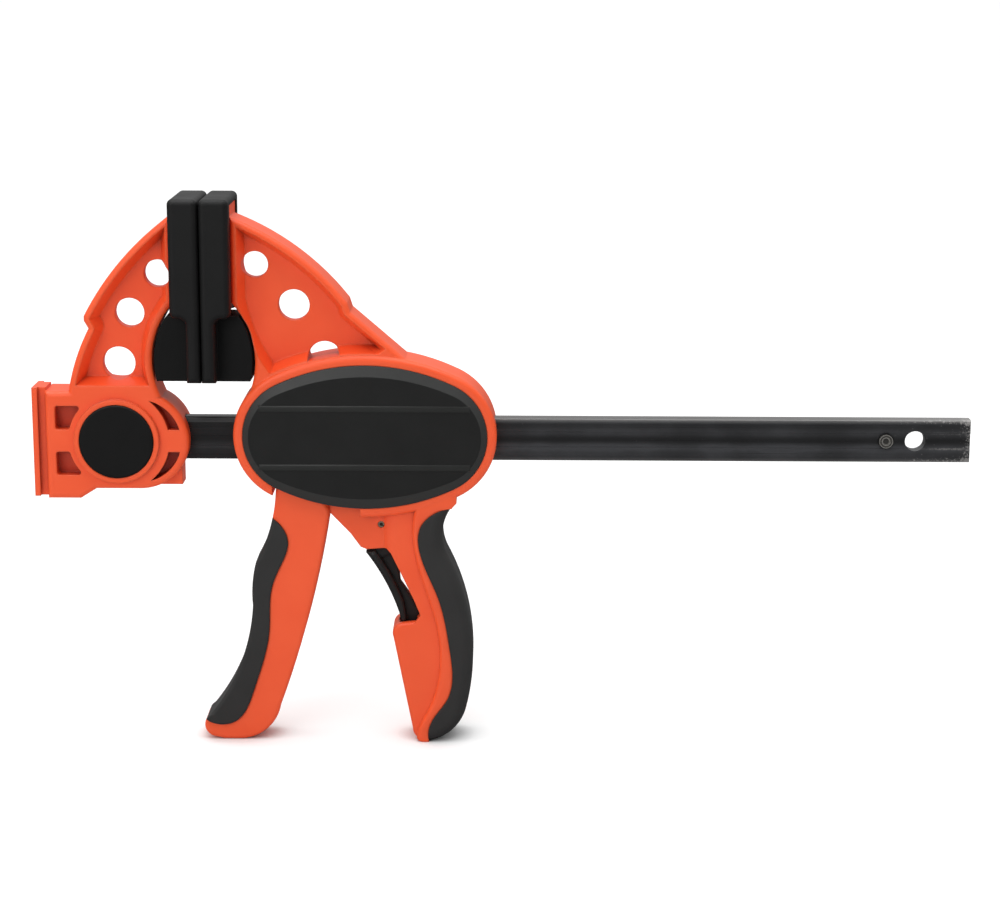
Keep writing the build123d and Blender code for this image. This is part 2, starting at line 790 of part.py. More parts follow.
# ---------------------------------------------------------------- handle grip
with BuildPart() as handle_grip:
    extrude(handle_grip_area.sketch, amount=band_depth / 2 + handle_grip_proud)
    rounded = handle_grip.faces().sort_by(Axis.Y)[0].edges().filter_by(GeomType.CIRCLE)
    fillet(rounded, grip_edge_radius)
    extrude(handle_core.sketch, amount=band_depth / 2 + handle_grip_proud - handle_grip_skin, mode=Mode.SUBTRACT)
    mirror(about=Plane.XZ)
handle_grip.part.label = "handle_grip"
export_step(handle_grip.part, "parts/handle_grip.step")

# ---------------------------------------------------------------- drive lever
with BuildSketch(side()) as lever_outline:
    with BuildLine():
        Polyline(
            (lever_pivot_x - lever_boss_radius, lever_pivot_z),
            (31.0, -12.0),
            (30.0, -25.4),
        )
        ThreePointArc((30.0, -25.4), (27.3, -40.0), (21.0, -54.9))
        ThreePointArc((21.0, -54.9), (19.3, -64.6), (19.3, -74.7))
        ThreePointArc((19.3, -74.7), (14.0, -100.0), (-0.9, foot_z + 11.0))
        ThreePointArc((-0.9, foot_z + 11.0), (-3.2, foot_z + 6.0), (1.1, foot_z + 1.0))
        Polyline((1.1, foot_z + 1.0), (5.6, foot_z), (12.3, foot_z))
        ThreePointArc((12.3, foot_z), (24.4, foot_z + 4.4), (31.0, foot_z + 15.8))
        ThreePointArc((31.0, foot_z + 15.8), (44.7, -77.0), (53.5, -33.4))
        Polyline(
            (53.5, -33.4),
            (53.5, -31.0),
            (50.0, -24.0),
            (42.5, -17.0),
            (45.0, -8.0),
            (lever_nose_x - lever_nose_radius, lever_nose_z - lever_nose_radius),
        )
        ThreePointArc(
            (lever_nose_x - lever_nose_radius, lever_nose_z - lever_nose_radius),
            (lever_nose_x, lever_nose_z),
            (lever_nose_x - lever_nose_radius, lever_nose_z + lever_nose_radius),
        )
        Polyline(
            (lever_nose_x - lever_nose_radius, lever_nose_z + lever_nose_radius),
            (lever_pivot_x + lever_boss_radius, lever_pivot_z),
        )
        ThreePointArc(
            (lever_pivot_x + lever_boss_radius, lever_pivot_z),
            (lever_pivot_x, lever_pivot_z + lever_boss_radius),
            (lever_pivot_x - lever_boss_radius, lever_pivot_z),
        )
    make_face()

with BuildSketch(side()) as lever_grip_area:
    add(lever_outline.sketch_local)
    with BuildLine():
        Spline(
            (24.0, -33.0),
            (31.9, -37.6),
            (35.3, -44.8),
            (32.0, -56.2),
            (27.9, -66.5),
            (26.6, -85.0),
            (19.5, foot_z + 24.0),
            (9.5, foot_z + 8.0),
            (2.2, foot_z + 7.4),
            (-6.0, foot_z + 15.0),
        )
        Polyline((-6.0, foot_z + 15.0), (-10.0, -60.0), (24.0, -33.0))
    make_face(mode=Mode.INTERSECT)

with BuildSketch(side()) as lever_core:
    add(lever_outline.sketch_local)
    offset(amount=-lever_grip_skin)
    add(lever_grip_area.sketch_local, mode=Mode.INTERSECT)

with BuildPart() as drive_lever:
    extrude(lever_outline.sketch, amount=lever_depth / 2)
    below = drive_lever.faces().sort_by(Axis.Y)[0].edges().filter_by_position(Axis.Z, -1, stand_height + fork_foot)
    fillet(below, lever_edge_radius)
    extrude(lever_grip_area.sketch, amount=lever_depth, mode=Mode.SUBTRACT)
    extrude(lever_core.sketch, amount=lever_depth / 2 + lever_grip_proud - lever_grip_skin)
    with BuildSketch(side()):
        with Locations((lever_web, lever_tip_wall)):
            add(lever_outline.sketch_local)
        with Locations((0, fork_foot / 2 + stand_height / 2)):
            Rectangle(4 * stand_height, stand_height, mode=Mode.SUBTRACT)
    extrude(amount=lever_channel / 2, mode=Mode.SUBTRACT)
    with BuildSketch(side()):
        with Locations((lever_pivot_x, fork_foot + stand_height / 2)):
            Rectangle(stand_height, stand_height)
    extrude(amount=fork_gap / 2, mode=Mode.SUBTRACT)
    mirror(about=Plane.XZ)
    with BuildSketch(side()):
        with Locations(pivot):
            Circle(lever_pin_radius + pin_fit)
    extrude(amount=lever_depth, both=True, mode=Mode.SUBTRACT)
drive_lever.part.label = "drive_lever"
export_step(drive_lever.part, "parts/drive_lever.step")

with BuildPart() as lever_grip:
    extrude(lever_grip_area.sketch, amount=lever_depth / 2 + lever_grip_proud)
    rounded = lever_grip.faces().sort_by(Axis.Y)[0].edges().filter_by(GeomType.CIRCLE).sort_by(SortBy.LENGTH)[-3:]
    fillet(rounded, lever_edge_radius)
    extrude(lever_core.sketch, amount=lever_depth / 2 + lever_grip_proud - lever_grip_skin, mode=Mode.SUBTRACT)
    mirror(about=Plane.XZ)
lever_grip.part.label = "lever_grip"
export_step(lever_grip.part, "parts/lever_grip.step")

with BuildPart() as lever_pin:
    with BuildSketch(side()):
        with Locations(pivot):
            Circle(lever_pin_radius)
    extrude(amount=lever_depth / 2 + pad_fit, both=True)
lever_pin.part.label = "lever_pin"
export_step(lever_pin.part, "parts/lever_pin.step")

# ---------------------------------------------------------------- drive plates and their spring
with BuildPart() as drive_plate_front:
    with BuildSketch(across(plate_start)):
        with Locations((0, (plate_foot + plate_head) / 2)):
            Rectangle(plate_width, plate_head - plate_foot)
        Rectangle(bar_thickness + 2 * bar_fit, bar_height + 2 * bar_fit, mode=Mode.SUBTRACT)
    extrude(amount=plate_thickness)
drive_plate_front.part.label = "drive_plate_front"
export_step(drive_plate_front.part, "parts/drive_plate_front.step")

with BuildPart() as drive_plate_rear:
    add(Pos(plate_thickness + plate_gap, 0, 0) * drive_plate_front.part)
drive_plate_rear.part.label = "drive_plate_rear"
export_step(drive_plate_rear.part, "parts/drive_plate_rear.step")

drive_spring_start = plate_start + 2 * plate_thickness + plate_gap + spring_seat + spring_wire / 2
drive_spring_end = divider_left - spring_seat - spring_wire / 2
drive_spring_length = drive_spring_end - drive_spring_start
drive_spring_seat = Plane(origin=(datum_x + drive_spring_start, 0, datum_z + spring_z), z_dir=(1, 0, 0))
with BuildPart() as drive_spring:
    with BuildLine() as drive_coil:
        Polyline(*coil_points(drive_spring_seat, drive_coils, drive_spring_length, spring_radius, 8))
    with BuildSketch(Plane(origin=drive_coil.line @ 0, z_dir=drive_coil.line % 0)):
        RegularPolygon(spring_wire / 2, 6)
    sweep(path=drive_coil.line, transition=Transition.RIGHT)
drive_spring.part.label = "drive_spring"
export_step(drive_spring.part, "parts/drive_spring.step")

# ---------------------------------------------------------------- brake plate and its spring
tilt = radians(brake_tilt)
brake_plane = Plane(
    origin=(datum_x + fulcrum_x, 0, datum_z + fulcrum_z),
    x_dir=(0, 1, 0),
    z_dir=(cos(tilt), 0, sin(tilt)),
)
brake_hole_middle = (-fulcrum_z - brake_thickness * sin(tilt) / 2) / cos(tilt)
brake_hole_height = (bar_height + 2 * bar_fit + brake_thickness * sin(tilt)) / cos(tilt)

with BuildPart() as brake_plate:
    with BuildSketch(brake_plane):
        with Locations((0, (brake_head - brake_tail) / 2)):
            Rectangle(plate_width, brake_head + brake_tail)
        with Locations((0, brake_hole_middle)):
            Rectangle(bar_thickness + 2 * bar_fit, brake_hole_height, mode=Mode.SUBTRACT)
    extrude(amount=brake_thickness)
brake_plate.part.label = "brake_plate"
export_step(brake_plate.part, "parts/brake_plate.step")

brake_face_x = fulcrum_x + brake_thickness / cos(tilt) - (spring_z - spring_radius - fulcrum_z) * tan(tilt)
brake_spring_start = brake_face_x + spring_seat + spring_wire / 2
brake_spring_end = rear_rib_left - spring_seat - spring_wire / 2
brake_spring_length = brake_spring_end - brake_spring_start
brake_spring_seat = Plane(origin=(datum_x + brake_spring_start, 0, datum_z + spring_z), z_dir=(1, 0, 0))
with BuildPart() as brake_spring:
    with BuildLine() as brake_coil:
        Polyline(*coil_points(brake_spring_seat, brake_coils, brake_spring_length, spring_radius, 8))
    with BuildSketch(Plane(origin=brake_coil.line @ 0, z_dir=brake_coil.line % 0)):
        RegularPolygon(spring_wire / 2, 6)
    sweep(path=brake_coil.line, transition=Transition.RIGHT)
brake_spring.part.label = "brake_spring"
export_step(brake_spring.part, "parts/brake_spring.step")

# ---------------------------------------------------------------- release trigger
nose_x = fulcrum_x + brake_thickness / cos(tilt) - (trigger_nose_z - fulcrum_z) * tan(tilt) + trigger_nose_gap

with BuildPart() as release_trigger:
    with BuildSketch(side()):
        with Locations(trigger_pivot):
            Circle(trigger_boss_radius)
        with BuildLine():
            Polyline(
                (69.5, -50.7),
                (71.9, trigger_pivot_z - 0.7),
                (80.7, trigger_pivot_z - 0.7),
                (80.5, -52.0),
                (76.0, -54.0),
                (69.5, -50.7),
            )
        make_face()
        with BuildLine():
            Polyline(
                (nose_x, trigger_nose_z),
                (nose_x + 3.0, trigger_nose_z + 2.0),
                (nose_x + 3.9, trigger_nose_z - 1.5),
                (80.9, trigger_pivot_z),
                (76.0, trigger_pivot_z + 2.3),
                (nose_x - 0.2, trigger_nose_z - 6.0),
                (nose_x, trigger_nose_z),
            )
        make_face()
    extrude(amount=trigger_body / 2)
    with BuildSketch(side()):
        with BuildLine():
            ThreePointArc((69.5, -50.7), (79.0, -66.0), (85.7, -84.2))
            Line((85.7, -84.2), (86.9, -84.2))
            ThreePointArc((86.9, -84.2), (83.1, -70.3), (75.2, -54.3))
            Polyline((75.2, -54.3), (73.0, -50.7), (69.5, -50.7))
        make_face()
    extrude(amount=trigger_blade / 2)
    with BuildSketch(side()):
        with BuildLine():
            ThreePointArc((69.5, -50.7), (79.0, -66.0), (85.7, -84.2))
            Polyline(
                (85.7, -84.2),
                (92.0, -84.0),
                (93.0, -79.0),
                (88.9, -71.7),
                (84.5, -65.3),
                (84.0, -60.2),
                (80.5, -52.0),
                (76.0, -50.7),
                (69.5, -50.7),
            )
        make_face()
    extrude(amount=trigger_web / 2)
    mirror(about=Plane.XZ)
    with BuildSketch(side()):
        with Locations(trigger_pivot):
            Circle(trigger_pin_radius + pin_fit)
    extrude(amount=trigger_body, both=True, mode=Mode.SUBTRACT)
release_trigger.part.label = "release_trigger"
export_step(release_trigger.part, "parts/release_trigger.step")

with BuildPart() as trigger_pin:
    with BuildSketch(side()):
        with Locations(trigger_pivot):
            Circle(trigger_pin_radius)
    extrude(amount=neck_depth / 2, both=True)
trigger_pin.part.label = "trigger_pin"
export_step(trigger_pin.part, "parts/trigger_pin.step")
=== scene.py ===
import json
from math import radians

import bmesh
import bpy
from mathutils import Matrix, Vector


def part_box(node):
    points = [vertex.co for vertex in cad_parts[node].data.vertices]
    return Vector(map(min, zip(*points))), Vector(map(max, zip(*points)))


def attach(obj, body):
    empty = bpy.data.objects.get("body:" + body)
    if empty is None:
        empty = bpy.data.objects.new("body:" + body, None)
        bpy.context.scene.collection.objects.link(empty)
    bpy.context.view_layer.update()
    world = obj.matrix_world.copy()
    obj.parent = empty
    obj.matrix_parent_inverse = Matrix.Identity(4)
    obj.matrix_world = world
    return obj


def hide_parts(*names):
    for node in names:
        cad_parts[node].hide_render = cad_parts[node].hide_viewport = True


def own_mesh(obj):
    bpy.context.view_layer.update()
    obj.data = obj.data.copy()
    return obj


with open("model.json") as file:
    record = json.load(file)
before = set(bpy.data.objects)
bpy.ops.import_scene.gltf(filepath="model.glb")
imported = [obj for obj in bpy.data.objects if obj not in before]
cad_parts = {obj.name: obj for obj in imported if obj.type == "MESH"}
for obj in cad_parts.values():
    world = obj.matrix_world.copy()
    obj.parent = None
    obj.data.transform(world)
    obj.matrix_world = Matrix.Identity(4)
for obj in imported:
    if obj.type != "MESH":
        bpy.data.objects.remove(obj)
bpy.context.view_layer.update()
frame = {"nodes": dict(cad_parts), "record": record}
nodes = frame["nodes"]
MM = 0.001

# Half thickness of the wings at a pad's foot
PAD_WING = 9.5 * MM

# Ribs across the covers: their length, height and width, their rounding, how deep their middle lies inside the
# cover's face, and how far they are from the cover's middle
RIB_SIZE = (92.0 * MM, 1.3 * MM, 3.0 * MM)
RIB_ROUND = 0.7 * MM
RIB_SINK = 0.28 * MM
RIB_OFFSET = 13.0 * MM

# Rolled pin of the trigger: its radii, how far its ends lie inside the hole, and the slit's angle and direction
PIN_OUTER = 1.48 * MM
PIN_INNER = 0.78 * MM
PIN_INSET = 0.35 * MM
PIN_SLIT = 26.0
PIN_SLIT_TURN = 40.0

# Finger band of the trigger: three points of the blade's front in millimetres from its hinge (X, Z), and the band's
# section: half its width, its front and back behind those points, and its rounding
BLADE_FRONT = ((-6.8, -12.7), (2.7, -28.0), (9.4, -46.2))
BAND_HALF_WIDTH = 6.04 * MM
BAND_FRONT = 0.25 * MM
BAND_BACK = 3.5 * MM
BAND_ROUND = 1.6 * MM
# Shares of the arc: where the band starts, and how far it runs
BAND_START = 0.045
BAND_RUN = 0.93
# The band's foot thins from this far below the hinge, over this length, by this share
FOOT_DROP = 36 * MM
FOOT_LENGTH = 9 * MM
FOOT_THINNING = 0.5

# Along the bar, inside the housing, painted shade from the jaws fades out from the jaws' side to the free side
JAW_SHADE_FULL = -85.0 * MM
JAW_SHADE_GONE = -60.0 * MM

# Light levels, where 1 is white
SKY_LOW = 0.25
SKY_HIGH = 1.1
SKY_FRONT = 0.35
PAPER = 0.80
PAPER_IN_GLOSS = 0.16
FLOOR_GLOW_NEAR = 0.25
FLOOR_GLOW_FAR = 0.42
# The floor's glow grows between these distances from the object's middle, in metres
GLOW_START = 0.35
GLOW_FULL = 1.1
FLOOR_HALF_WIDTH = 30.0
# How near to the feet the floor's glow fades, to paint a contact shadow there
CONTACT_SHADOW_REACH = 13.0 * MM

# Camera: its place, how far it looks down and is turned in degrees, its lens and sensor in millimetres, and how
# far it sees in metres
CAMERA_PLACE = (-1.2 * MM, -993.0 * MM, 351.6 * MM)
CAMERA_DOWN = 12.5
CAMERA_ROLL = 0.28
CAMERA_LENS = 83.16
CAMERA_SENSOR = 36.0
CAMERA_REACH = 60.0

# ---------------------------------------------------------------- node helpers


def new_material(name):
    material = bpy.data.materials.new(name)
    material.use_nodes = True
    tree = material.node_tree
    tree.nodes.clear()
    shader = tree.nodes.new("ShaderNodeBsdfPrincipled")
    output = tree.nodes.new("ShaderNodeOutputMaterial")
    tree.links.new(shader.outputs["BSDF"], output.inputs["Surface"])
    return material, tree, shader


def new_group(name, inputs, outputs):
    """A shader node group with float inputs (name, default) and float outputs (name)."""
    group = bpy.data.node_groups.new(name, "ShaderNodeTree")
    for title, default in inputs:
        socket = group.interface.new_socket(title, in_out="INPUT", socket_type="NodeSocketFloat")
        socket.default_value = default
    for title in outputs:
        group.interface.new_socket(title, in_out="OUTPUT", socket_type="NodeSocketFloat")
    return group, group.nodes.new("NodeGroupInput"), group.nodes.new("NodeGroupOutput")


def feed(tree, socket, value):
    """Give a socket its value: a link from another socket, or a constant."""
    if isinstance(value, bpy.types.NodeSocket):
        tree.links.new(value, socket)
    else:
        socket.default_value = value


def add_node(tree, kind, settings=None, **inputs):
    """A node with its settings and inputs. An input's spaces are written as underscores."""
    node = tree.nodes.new(kind)
    for key, value in (settings or {}).items():
        setattr(node, key, value)
    for key, value in inputs.items():
        feed(tree, node.inputs[key.replace("_", " ")], value)
    return node


def place_group(tree, group, **values):
    return add_node(tree, "ShaderNodeGroup", {"node_tree": group}, **values)


def calculate(tree, operation, *values, clamp=False):
    node = add_node(tree, "ShaderNodeMath", {"operation": operation, "use_clamp": clamp})
    for socket, value in zip(node.inputs, values):
        feed(tree, socket, value)
    return node.outputs[0]


def object_place(tree):
    return tree.nodes.new("ShaderNodeTexCoord").outputs["Object"]


def grey(level):
    return level, level, level, 1


def noise(tree, place, scale, detail, roughness):
    """Noise with about as many cells as the scale says for each unit of place."""
    node = add_node(tree, "ShaderNodeTexNoise", Vector=place, Scale=scale, Detail=detail, Roughness=roughness)
    return node.outputs["Fac"]


def mix_colour(tree, factor, first, second):
    node = tree.nodes.new("ShaderNodeMix")
    node.data_type = "RGBA"
    # A Mix node has one set of sockets for each kind of data: 0 is the factor, 6 and 7 are the colours
    for socket, value in ((node.inputs[0], factor), (node.inputs[6], first), (node.inputs[7], second)):
        feed(tree, socket, value)
    return node.outputs[2]


def from_noise(tree, value, low, high):
    """Spread a noise, which lies mostly between 0.3 and 0.7, from low to high."""
    node = add_node(tree, "ShaderNodeMapRange", Value=value, From_Min=0.3, From_Max=0.7, To_Min=low, To_Max=high)
    return node.outputs["Result"]


def smooth_step(tree, value, start, end, low=0.0, high=1.0):
    """Pass smoothly from low, where the value is at start, to high, where it is at end."""
    node = add_node(
        tree, "ShaderNodeMapRange", {"interpolation_type": "SMOOTHSTEP"},
        Value=value, From_Min=start, From_Max=end, To_Min=low, To_Max=high,
    )
    return node.outputs["Result"]


def sideways(tree):
    """1 where a face looks straight to +Y or -Y, and 0 where it lies along Y."""
    normal = tree.nodes.new("ShaderNodeNewGeometry").outputs["True Normal"]
    split = add_node(tree, "ShaderNodeSeparateXYZ", Vector=normal)
    return calculate(tree, "ABSOLUTE", split.outputs["Y"])


def tint_where(material, mask, colour):
    """Mix another colour over a moulding's own where the mask is 1."""
    tree = material.node_tree
    socket = tree.nodes["Principled BSDF"].inputs["Base Color"]
    own = socket.links[0].from_socket
    tree.links.new(mix_colour(tree, mask, own, (*colour, 1)), socket)


# ---------------------------------------------------------------- shared effects


def moulded_grain():
    """Fine spark-eroded grain of a moulding tool, and slow patches for unevenness of gloss and colour."""
    group, inlet, outlet = new_group(
        "moulded_grain", (("Grain size", 0.35), ("Patch size", 14.0)), ("Height", "Patches")
    )
    millimetres = add_node(
        group, "ShaderNodeVectorMath", {"operation": "SCALE"}, Vector=object_place(group), Scale=1000.0
    ).outputs["Vector"]
    per_grain = calculate(group, "DIVIDE", 1.0, inlet.outputs["Grain size"])
    per_patch = calculate(group, "DIVIDE", 1.0, inlet.outputs["Patch size"])
    group.links.new(noise(group, millimetres, per_grain, 3.0, 0.6), outlet.inputs["Height"])
    group.links.new(noise(group, millimetres, per_patch, 2.0, 0.5), outlet.inputs["Patches"])
    return group


def edge_rub():
    """Where an edge is rubbed: the rounded normal leaves the true one there, and noise breaks the mask up."""
    group, inlet, outlet = new_group("edge_rub", (("Width", 0.6 * MM), ("Amount", 1.0)), ("Mask",))
    rounded = add_node(group, "ShaderNodeBevel", {"samples": 6}, Radius=inlet.outputs["Width"])
    true = group.nodes.new("ShaderNodeNewGeometry")
    agreement = add_node(group, "ShaderNodeVectorMath", {"operation": "DOT_PRODUCT"})
    feed(group, agreement.inputs[0], rounded.outputs["Normal"])
    feed(group, agreement.inputs[1], true.outputs["Normal"])
    edge = add_node(group, "ShaderNodeMapRange", Value=agreement.outputs["Value"], From_Min=0.995, From_Max=0.86)
    broken = calculate(group, "MULTIPLY", edge.outputs["Result"], noise(group, object_place(group), 420.0, 4.0, 0.6))
    rubbed = calculate(group, "MULTIPLY", broken, inlet.outputs["Amount"], clamp=True)
    group.links.new(rubbed, outlet.inputs["Mask"])
    return group


grain_group = moulded_grain()
rub_group = edge_rub()

# ---------------------------------------------------------------- finishes


def moulding(name, colour, deep, worn, roughness, grain_size, bump, rub, specular, soft_edge=0.7 * MM):
    """A moulded plastic or rubber: grain, uneven gloss, slow colour drift, soft corners and rubbed edges."""
    material, tree, shader = new_material(name)
    grain = place_group(tree, grain_group, Grain_size=grain_size)
    wear = place_group(tree, rub_group, Amount=rub)
    drift = mix_colour(tree, grain.outputs["Patches"], (*deep, 1), (*colour, 1))
    tree.links.new(mix_colour(tree, wear.outputs["Mask"], drift, (*worn, 1)), shader.inputs["Base Color"])
    gloss = from_noise(tree, grain.outputs["Patches"], roughness - 0.04, roughness + 0.05)
    tree.links.new(gloss, shader.inputs["Roughness"])
    corner = add_node(tree, "ShaderNodeBevel", {"samples": 5}, Radius=soft_edge)
    relief = add_node(
        tree, "ShaderNodeBump", Strength=bump, Distance=0.05 * MM,
        Height=grain.outputs["Height"], Normal=corner.outputs["Normal"],
    )
    tree.links.new(relief.outputs["Normal"], shader.inputs["Normal"])
    shader.inputs["Specular IOR Level"].default_value = specular
    return material


def steel(name, colour, worn, roughness, metallic, rub, bump, lengthwise=6.0):
    """Pin or wire steel: drawing marks (lengthwise is how many a metre along X), oil blotches and rubbed edges."""
    material, tree, shader = new_material(name)
    place = object_place(tree)
    stretched = add_node(tree, "ShaderNodeMapping", Vector=place, Scale=(lengthwise, 900.0, 900.0))
    marks = noise(tree, stretched.outputs["Vector"], 1.0, 5.0, 0.6)
    blotches = noise(tree, place, 70.0, 3.0, 0.55)
    wear = place_group(tree, rub_group, Amount=rub, Width=0.9 * MM)
    darker = (*(0.6 * level for level in colour), 1)
    lighter = (*(1.5 * level for level in colour), 1)
    drift = mix_colour(tree, blotches, darker, lighter)
    tree.links.new(mix_colour(tree, wear.outputs["Mask"], drift, (*worn, 1)), shader.inputs["Base Color"])
    tree.links.new(from_noise(tree, marks, roughness - 0.10, roughness + 0.12), shader.inputs["Roughness"])
    shader.inputs["Metallic"].default_value = metallic
    relief = add_node(tree, "ShaderNodeBump", Strength=bump, Distance=0.04 * MM, Height=marks)
    tree.links.new(relief.outputs["Normal"], shader.inputs["Normal"])
    return material


def bar_finish():
    """Blackened rolled strip: flute and edges in the shading, painted highlights and shade, oil, and a free end
    rubbed bright.
    """
    low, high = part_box("bar")
    middle, end = (low[2] + high[2]) / 2, high[0]
    pin_low, pin_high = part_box("bar_stop_pin")
    pin_face = ((pin_low[0] + pin_high[0]) / 2, pin_low[1], (pin_low[2] + pin_high[2]) / 2)

    material, tree, shader = new_material("blackened_bar")
    place = object_place(tree)
    split = add_node(tree, "ShaderNodeSeparateXYZ", Vector=place)
    along = split.outputs["X"]
    above = calculate(tree, "SUBTRACT", split.outputs["Z"], middle)
    off_middle = calculate(tree, "ABSOLUTE", above)

    def ramp(value, start, end, low, high):
        return smooth_step(tree, value, start, end, low, high)

    def times(first, *others):
        for other in others:
            first = calculate(tree, "MULTIPLY", first, other)
        return first

    def plus(first, second):
        return calculate(tree, "ADD", first, second)

    def larger(first, second):
        return calculate(tree, "MAXIMUM", first, second)

    stretched = add_node(tree, "ShaderNodeMapping", Vector=place, Scale=(7.0, 700.0, 700.0))
    marks = noise(tree, stretched.outputs["Vector"], 1.0, 5.0, 0.6)
    pits = noise(tree, place, 900.0, 5.0, 0.7)
    oil = noise(tree, place, 45.0, 3.0, 0.55)

    # Relief: the flute's hollow, the rolled edges, fine pits and drawing marks
    flute = ramp(off_middle, 1.2 * MM, 5.2 * MM, -0.28 * MM, 0.0)
    rolled = ramp(off_middle, 6.8 * MM, 9.5 * MM, 0.0, -1.0 * MM)
    fine = plus(times(pits, 0.03 * MM), times(marks, 0.02 * MM))
    height = plus(plus(flute, rolled), fine)
    relief = add_node(tree, "ShaderNodeBump", Strength=1.0, Distance=1.0, Height=height)
    tree.links.new(relief.outputs["Normal"], shader.inputs["Normal"])

    # Bright specks: along the rolled edges near the free end, and over the last millimetres
    toward_end = ramp(along, end - 60 * MM, end - 10 * MM, 0.0, 0.22)
    last = ramp(along, end - 6 * MM, end - 0.4 * MM, 0.0, 0.16)
    on_edge = ramp(off_middle, 6.6 * MM, 9.0 * MM, 0.25, 1.0)
    chance = plus(times(toward_end, on_edge), last)
    specks = ramp(plus(pits, chance), 0.68, 0.82, 0.0, 0.8)

    # Edges rubbed to a thin line, brighter toward the free end, with a painted highlight that makes the upper edge
    # brighter.
    # Painted shade from the jaws almost hides them on the jaws' side
    upper_line = ramp(above, 7.8 * MM, 9.2 * MM, 0.0, 0.55)
    lower_line = ramp(above, -7.4 * MM, -9.5 * MM, 0.0, 0.30)
    edge_wear_and_highlight = times(
        plus(upper_line, lower_line), marks,
        ramp(along, end - 80 * MM, end - 10 * MM, 1.0, 1.7), ramp(along, JAW_SHADE_FULL, JAW_SHADE_GONE, 0.1, 1.0),
    )

    # Faint scratches on the flute's shoulders, only near the free end
    scratch = times(
        ramp(off_middle, 2.6 * MM, 3.4 * MM, 0.0, 1.0), ramp(off_middle, 3.6 * MM, 4.4 * MM, 1.0, 0.0),
        ramp(along, end - 26 * MM, end - 4 * MM, 0.0, 0.75),
        ramp(pits, 0.40, 0.58, 0.1, 1.0), ramp(marks, 0.42, 0.66, 0.0, 1.0),
    )
    # Wear, together with the edges' painted highlight
    rubbed = larger(larger(specks, scratch), edge_wear_and_highlight)

    # Painted highlights and painted shade: the black is lighter on the flute's shoulders and on the lower half, and
    # darkest in the flute's bottom. Oil varies it at random. Painted shade from the jaws keeps the bar darker on the
    # jaws' side.
    painted_shade_and_oil = times(
        ramp(off_middle, 0.2 * MM, 3.4 * MM, 0.15, 1.0), ramp(off_middle, 3.6 * MM, 6.2 * MM, 1.0, 0.55),
        ramp(oil, 0.3, 0.7, 0.5, 1.0), ramp(above, 0.0, -4.0 * MM, 1.0, 1.55),
        ramp(along, JAW_SHADE_FULL, JAW_SHADE_GONE, 0.30, 1.0),
    )
    black = mix_colour(tree, painted_shade_and_oil, (0.008, 0.0081, 0.0088, 1), (0.054, 0.055, 0.060, 1))

    # Oil creeps out round the stop pin
    from_pin = add_node(tree, "ShaderNodeVectorMath", {"operation": "DISTANCE"})
    feed(tree, from_pin.inputs[0], place)
    feed(tree, from_pin.inputs[1], pin_face)
    creep = plus(from_pin.outputs["Value"], times(pits, 3.0 * MM))
    black = mix_colour(tree, ramp(creep, 5.8 * MM, 4.8 * MM, 0.0, 0.85), black, (0.002, 0.002, 0.002, 1))

    tree.links.new(mix_colour(tree, rubbed, black, (0.36, 0.35, 0.34, 1)), shader.inputs["Base Color"])
    tree.links.new(ramp(marks, 0.3, 0.7, 0.26, 0.42), shader.inputs["Roughness"])
    shader.inputs["Metallic"].default_value = 0.3
    shader.inputs["Specular IOR Level"].default_value = 0.6
    return material


def paint_pocket_shade(material):
    """Painted shade: pockets and inner corners of a moulding are coloured darker and deeper red."""
    tree = material.node_tree
    pocket = add_node(tree, "ShaderNodeAmbientOcclusion", {"samples": 6, "only_local": True}, Distance=9.0 * MM)
    tint_where(material, smooth_step(tree, pocket.outputs["AO"], 0.60, 0.20, 0.0, 0.85), (0.32, 0.013, 0.004))


def paint_bevel_reflection(material):
    """Painted reflection: the bevel round a cover is coloured lighter than its grained face."""
    tree = material.node_tree
    tint_where(material, smooth_step(tree, sideways(tree), 0.985, 0.94, 0.0, 0.85), (0.034, 0.035, 0.034))


def paint_wing_shade(material):
    """Painted shade: the thin recessed wings at a pad's foot are coloured darker than its grained body."""
    tree = material.node_tree
    split = add_node(tree, "ShaderNodeSeparateXYZ", Vector=object_place(tree))
    depth = calculate(tree, "ABSOLUTE", split.outputs["Y"])
    wing = smooth_step(tree, depth, PAD_WING + 1.2 * MM, PAD_WING + 0.4 * MM)
    mask = calculate(tree, "MULTIPLY", wing, smooth_step(tree, sideways(tree), 0.5, 0.9))
    tint_where(material, mask, (0.0020, 0.0020, 0.0021))


orange = moulding(
    "orange_nylon", colour=(0.94, 0.108, 0.027), deep=(0.88, 0.090, 0.022), worn=(0.99, 0.24, 0.09),
    roughness=0.38, grain_size=0.30, bump=0.25, rub=0.5, specular=0.42, soft_edge=1.1 * MM,
)
paint_pocket_shade(orange)
pad_black = moulding(
    "pad_rubber", colour=(0.0072, 0.0073, 0.0075), deep=(0.0058, 0.0058, 0.0060), worn=(0.04, 0.04, 0.04),
    roughness=0.52, grain_size=0.25, bump=0.5, rub=0.3, specular=0.31,
)
paint_wing_shade(pad_black)
cover_black = moulding(
    "cover_black", colour=(0.0110, 0.0113, 0.0110), deep=(0.0090, 0.0093, 0.0090), worn=(0.05, 0.05, 0.048),
    roughness=0.46, grain_size=0.30, bump=0.8, rub=0.4, specular=0.38, soft_edge=0.5 * MM,
)
paint_bevel_reflection(cover_black)
